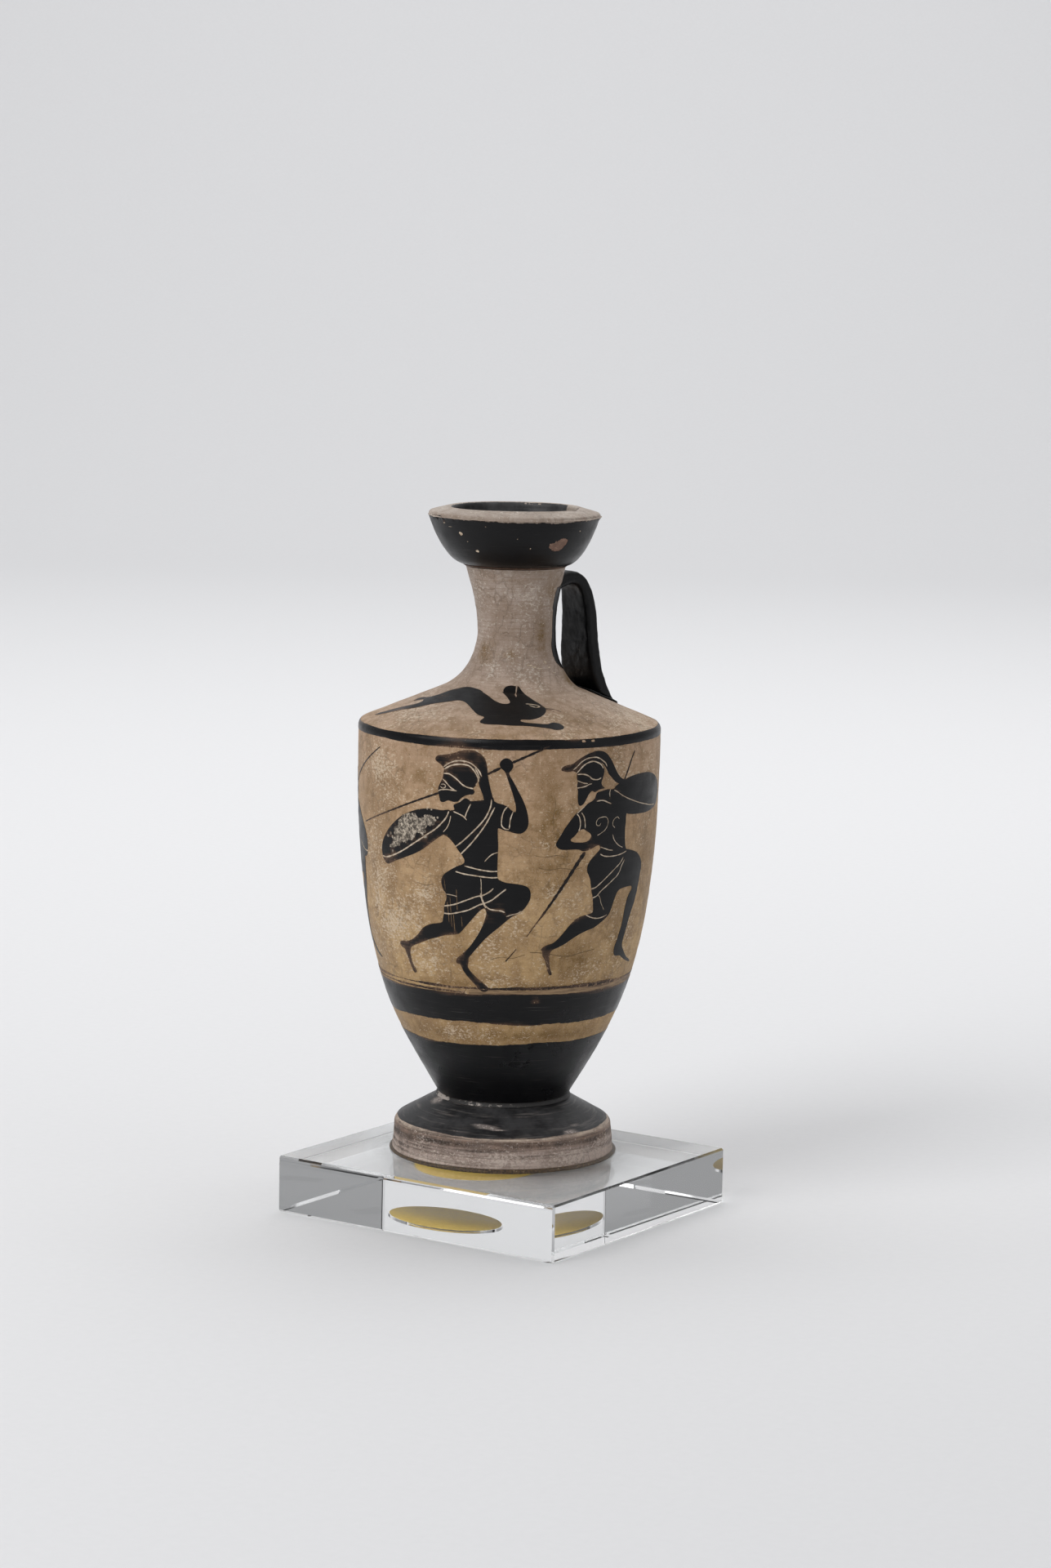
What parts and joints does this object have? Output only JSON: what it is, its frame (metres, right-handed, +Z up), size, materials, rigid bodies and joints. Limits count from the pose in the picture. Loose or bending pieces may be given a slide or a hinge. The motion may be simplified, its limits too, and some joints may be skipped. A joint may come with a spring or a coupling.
{
  "type": "lekythos",
  "caption": "Small shoulder lekythos with a cup mouth, narrow neck, strap handle and disc foot, fixed on a clear rectangular plinth; a pouring vessel for oil.",
  "frame": {"origin": "on the vessel's axis, at the plinth's underside", "axes": "+Z up along the vessel's axis; X and Y along the plinth's sides; the handle stands back at 74.5 degrees from +X towards +Y"},
  "size_m": [0.07, 0.0674, 0.1486],
  "materials": {
    "clay": "satin",
    "black_gloss": "satin",
    "slip": "matte",
    "acrylic": "polished",
    "gold_paper": "satin",
    "fixing_wax": "satin"
  },
  "bodies": {
    "root": {"plinth": "acrylic", "underside_disc": "gold_paper", "fixing_bead": "fixing_wax", "foot": "clay", "foot_slip": "slip", "body": "clay", "neck_slip": "slip", "neck": "clay", "mouth_slip": "slip", "mouth": "black_gloss", "handle": "black_gloss", "handle_upper_slip": "black_gloss", "handle_lower_slip": "slip"}
  },
  "joints": []
}
